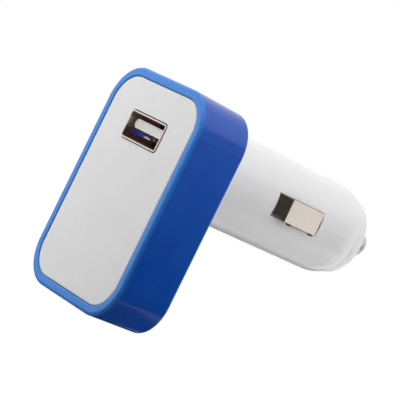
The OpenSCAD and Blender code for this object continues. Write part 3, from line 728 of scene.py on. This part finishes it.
for lamp_name, lamp_facts in LAMPS.items():
    softbox(lamp_name, **lamp_facts)
print("lamps:", ", ".join(LAMPS))

# %% [markdown]
# ## Flags
#
# A photographer puts dark or grey cards, called flags, where a glossy thing would
# otherwise mirror only white. They give a shiny cylinder its long tone edges, and they
# turn one side of a bent strip dark. Each flag here is a sheet that only mirror-like
# rays can see. The one at the back right fades to black at its foot, and so does the
# frame's side, which mirrors it. Others lie just above the floor, and the dark ones in
# front are what the steep ends of the two leaves mirror.
#
# A shade is the opposite: it takes soft light away from what is near it. A small black
# one stands next to the lower half of the frame's side, which is dark there in the
# photograph.


# %% Flags
CARD_Z, CARD_DISTANCE = -90, 330
NEAR_BLACK, DARK_GREY = "#1c1c1e", "#423e3a"


def sheet_mesh(name, corners):
    """One flat face through four corners, in metres."""
    mesh = bpy.data.meshes.new(name)
    mesh.from_pydata([tuple(corner) for corner in corners], [], [(0, 1, 2, 3)])
    piece = bpy.data.objects.new(name, mesh)
    bpy.context.collection.objects.link(piece)
    return piece


def card(name, corners, hex_colour, foot_colour=None, fade_mm=(0, 1)):
    """A glowing card of one even brightness, or one that fades to its foot's colour
    between two heights. A black one gives no light at all."""
    material, tree = new_material(name)
    colour = hex_colour
    if foot_colour:
        height = add(tree, "SeparateXYZ", {"Vector": place_in_mm(tree)}).outputs["Z"]
        share = add(tree, "MapRange", {"Value": height, **span(0, 1, *fade_mm)}, **SMOOTH)
        two = {"Factor": share, "A": foot_colour, "B": hex_colour}
        colour = add(tree, "Mix", two, **COLOURS)
    glow = add(tree, "Emission", {"Color": colour})
    add(tree, "OutputMaterial", {"Surface": glow})
    piece = sheet_mesh(name, corners)
    piece.data.materials.append(material)
    piece.visible_camera = piece.visible_transmission = piece.visible_volume_scatter = False
    return piece


def flag(name, corners, *colours, **fade):
    """A card that only mirror-like rays see."""
    piece = card(name, corners, *colours, **fade)
    piece.visible_diffuse = piece.visible_shadow = False


def shade(name, corners):
    """A black card close to the plug that only takes soft light away from it."""
    card(name, corners, "#000000").visible_glossy = False


def upright(start, end, z_range):
    """Corners of an upright card between two points of the plan and two heights, in mm."""
    low, high = z_range
    corners = (*start, low), (*end, low), (*end, high), (*start, high)
    return [Vector(corner) * MM for corner in corners]


def standing(azimuths, z_range, distance=CARD_DISTANCE):
    """Corners of an upright card between two directions, in degrees from +X to +Y."""
    turns = (math.radians(azimuth) for azimuth in azimuths)
    start, end = ((math.cos(turn) * distance, math.sin(turn) * distance) for turn in turns)
    return upright(start, end, z_range)


def lying(x_range, y_range):
    """Corners of a flat card just above the floor, in mm."""
    (xa, xb), (ya, yb) = x_range, y_range
    return [Vector((x, y, CARD_Z)) * MM for x, y in ((xa, ya), (xb, ya), (xb, yb), (xa, yb))]


flag("flag_back_right", standing((10, 48), (-92, 166)), "#b0b0b0", "#040404", fade_mm=(-48, 40))
flag("flag_low_right", lying((88, 300), (15, 230)), "#161616")
flag("flag_low_front", lying((-500, 420), (-400, 15)), "#6c6764")
flag("flag_below", lying((-500, 88), (15, 58)), NEAR_BLACK)
flag("flag_below_left", lying((-500, -60), (58, 200)), NEAR_BLACK)
flag("flag_below_barrel", lying((-60, 88), (58, 115)), "#cbcbcb")
flag("flag_front_right", standing((-82, 9), (CARD_Z, 230)), DARK_GREY)
flag("flag_front_left", standing((-135, -110), (CARD_Z, 230), 350), DARK_GREY)
shade("shade_low_right", upright((38, -95), (38, 4), (-85, -22)))

# %% [markdown]
# ## Floor
#
# The floor is matt white paper 60 mm under the plug, low enough that its shadow is out of
# the photograph's frame. Far away the paper would look grey, because only the world
# lights it there. To the camera it is lifted by just that difference, so that it meets
# the white background without an edge, and near the plug the shadow still shows on it.
# The floor reaches 4 m to each side.

# %% Floor
FLOOR_DROP, FLOOR_HALF = 60 * MM, 4.0
PAPER = "#e9e9e9"


def pale_paper():
    """Matt paper, and the light that it lacks far away, for the camera and mirrors alone."""
    material, tree = new_material("pale_paper")
    lift = 1.0 - WORLD_LEVEL * linear(PAPER)[0]
    seen = seen_directly(tree, MIRROR_RAYS)
    strength = add(tree, "MapRange", {"Value": seen, **span(0, lift, 0, 1)}, **SMOOTH)
    paper = add(tree, "BsdfDiffuse", {"Color": PAPER})
    light = add(tree, "Emission", {"Color": WHITE, "Strength": strength})
    add(tree, "OutputMaterial", {"Surface": add(tree, "AddShader", {0: paper, 1: light})})
    return material


floor_z = cad_box[0][2] - FLOOR_DROP
square = ((-1, -1), (1, -1), (1, 1), (-1, 1))
floor = sheet_mesh("floor", [(x * FLOOR_HALF, y * FLOOR_HALF, floor_z) for x, y in square])
floor.data.materials.append(pale_paper())
print("floor at", round(floor_z / MM, 1), "mm")

# %% [markdown]
# ## Finish
#
# The Standard view transform shows the colours as they are written above.

# %% Finish
scene = bpy.context.scene
scene.view_settings.view_transform = "Standard"
